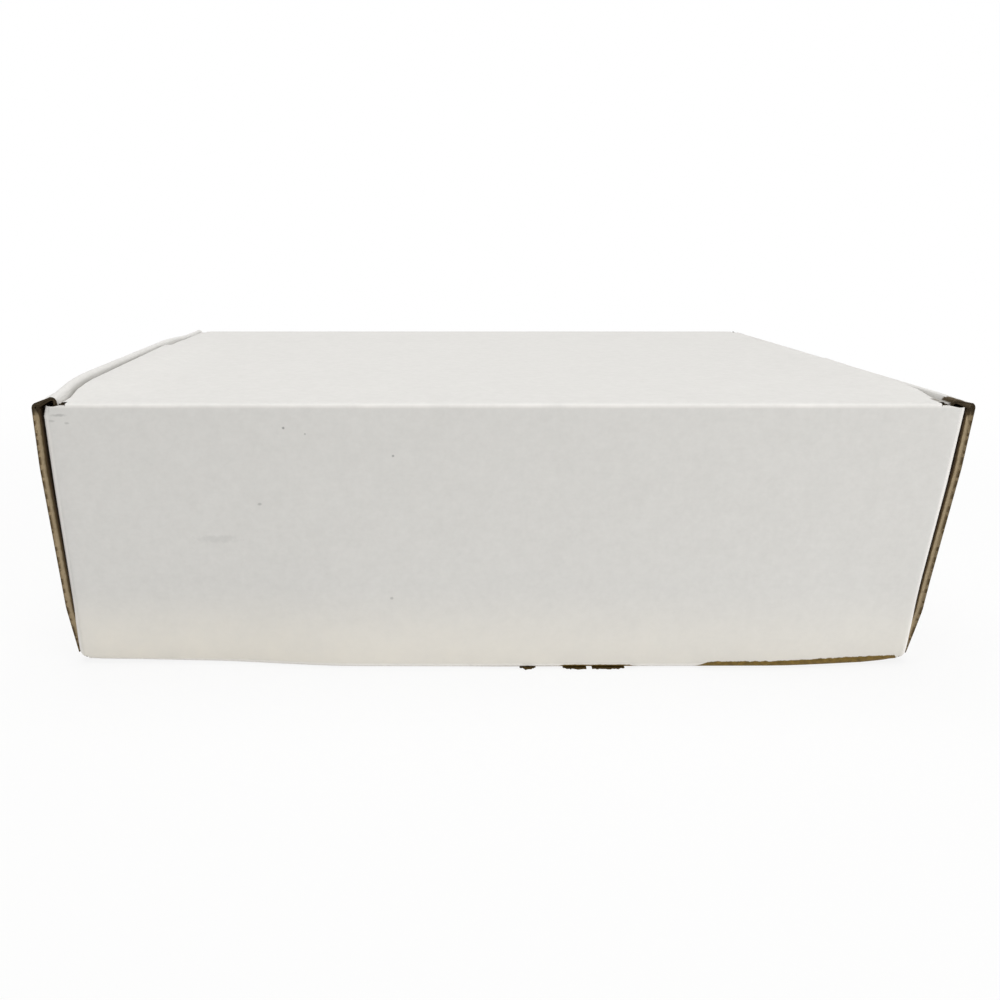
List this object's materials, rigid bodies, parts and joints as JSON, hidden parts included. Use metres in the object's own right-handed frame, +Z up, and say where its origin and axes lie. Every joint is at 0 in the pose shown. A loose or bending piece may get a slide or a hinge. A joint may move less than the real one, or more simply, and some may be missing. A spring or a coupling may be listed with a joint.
{
  "type": "corrugated mailer box",
  "caption": "Folded corrugated mailer box with rolled side walls, a hinged lid and a tuck flap, white outside and brown kraft inside.",
  "frame": {"origin": "middle of the closed box's footprint, on the surface that it stands on", "axes": "+X along the width, +Y from the back wall with the lid's hinge to the front wall, +Z up"},
  "size_m": [0.3504, 0.235, 0.1112],
  "materials": {
    "white_board": "matt, mottled white liner",
    "kraft_board": "matt brown kraft liner and raw edges"
  },
  "bodies": {
    "tray": {"tray": "white_board"},
    "lid": {"lid": "white_board"}
  },
  "joints": [
    {"name": "lid_hinge", "type": "hinge", "parent": "tray", "child": "lid", "pos_m": [0, -0.1175, 0.109], "axis": [1, 0, 0], "range_deg": [0, 180]}
  ]
}
